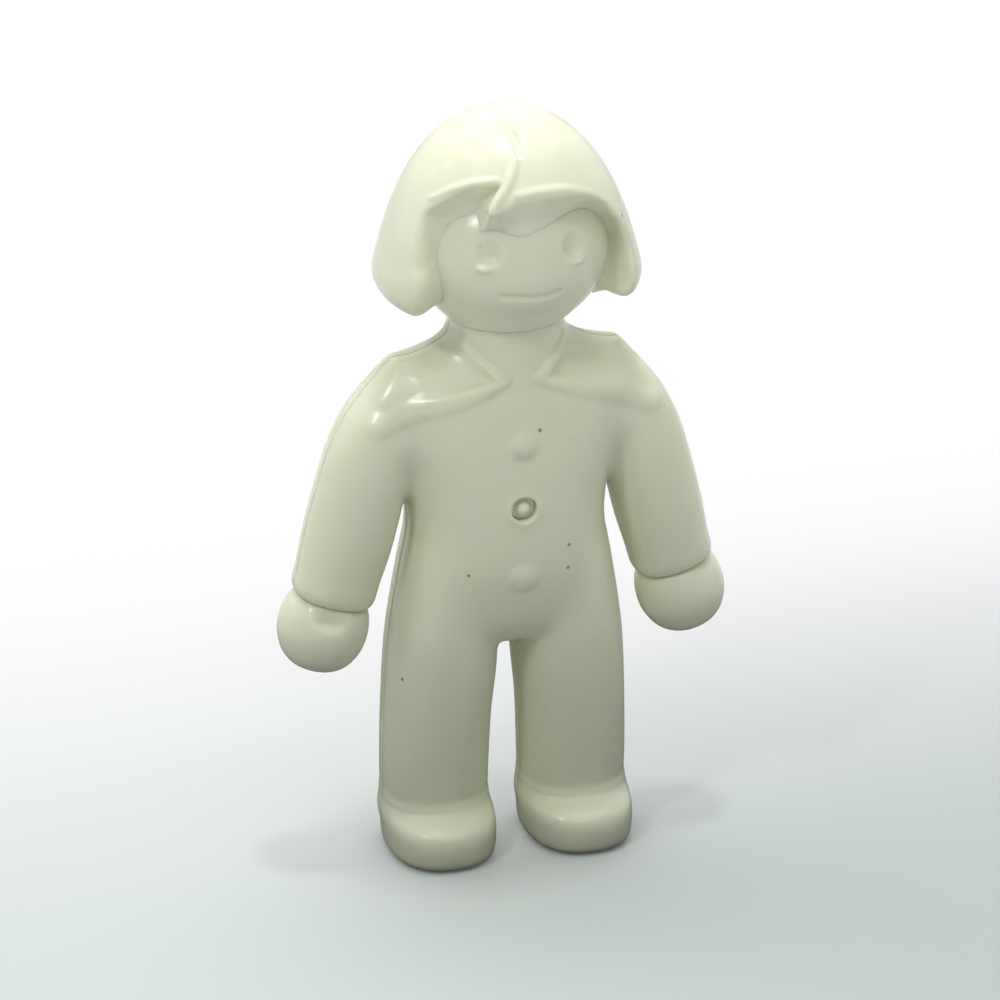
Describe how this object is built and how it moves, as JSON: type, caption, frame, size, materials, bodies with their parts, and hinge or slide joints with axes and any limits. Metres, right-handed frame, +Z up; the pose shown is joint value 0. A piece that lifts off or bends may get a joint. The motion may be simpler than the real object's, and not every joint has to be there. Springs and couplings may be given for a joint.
{
  "type": "toy figure",
  "caption": "Small standing doll with bobbed hair and a buttoned suit; the head turns in its collar and the ball hands turn in their cuffs.",
  "frame": {"origin": "on the floor, under the middle of the outer box", "axes": "+Z up, the doll faces -Y, its left hand is at +X"},
  "size_m": [0.0152, 0.0066, 0.0255],
  "materials": {
    "suit": "satin ivory moulded plastic",
    "skin": "satin ivory moulded plastic",
    "hair": "smooth ivory moulded plastic",
    "pin": "smooth ivory moulded plastic"
  },
  "bodies": {
    "trunk": {"body_front": "suit", "body_back": "suit", "belly_pin": "pin"},
    "head": {"head": "skin", "hair": "hair"},
    "right_hand": {"hand_right": "skin"},
    "left_hand": {"hand_left": "skin"}
  },
  "joints": [
    {"name": "head_turn", "type": "hinge", "parent": "trunk", "child": "head", "pos_m": [0, -0.00017, 0.0165], "axis": [0, 0, 1], "continuous": true},
    {"name": "right_hand_turn", "type": "hinge", "parent": "trunk", "child": "right_hand", "pos_m": [-0.0036, -0.00017, 0.01722], "axis": [0.2723, 0, 0.9622], "continuous": true},
    {"name": "left_hand_turn", "type": "hinge", "parent": "trunk", "child": "left_hand", "pos_m": [0.0036, -0.00017, 0.01722], "axis": [-0.2723, 0, 0.9622], "continuous": true}
  ]
}
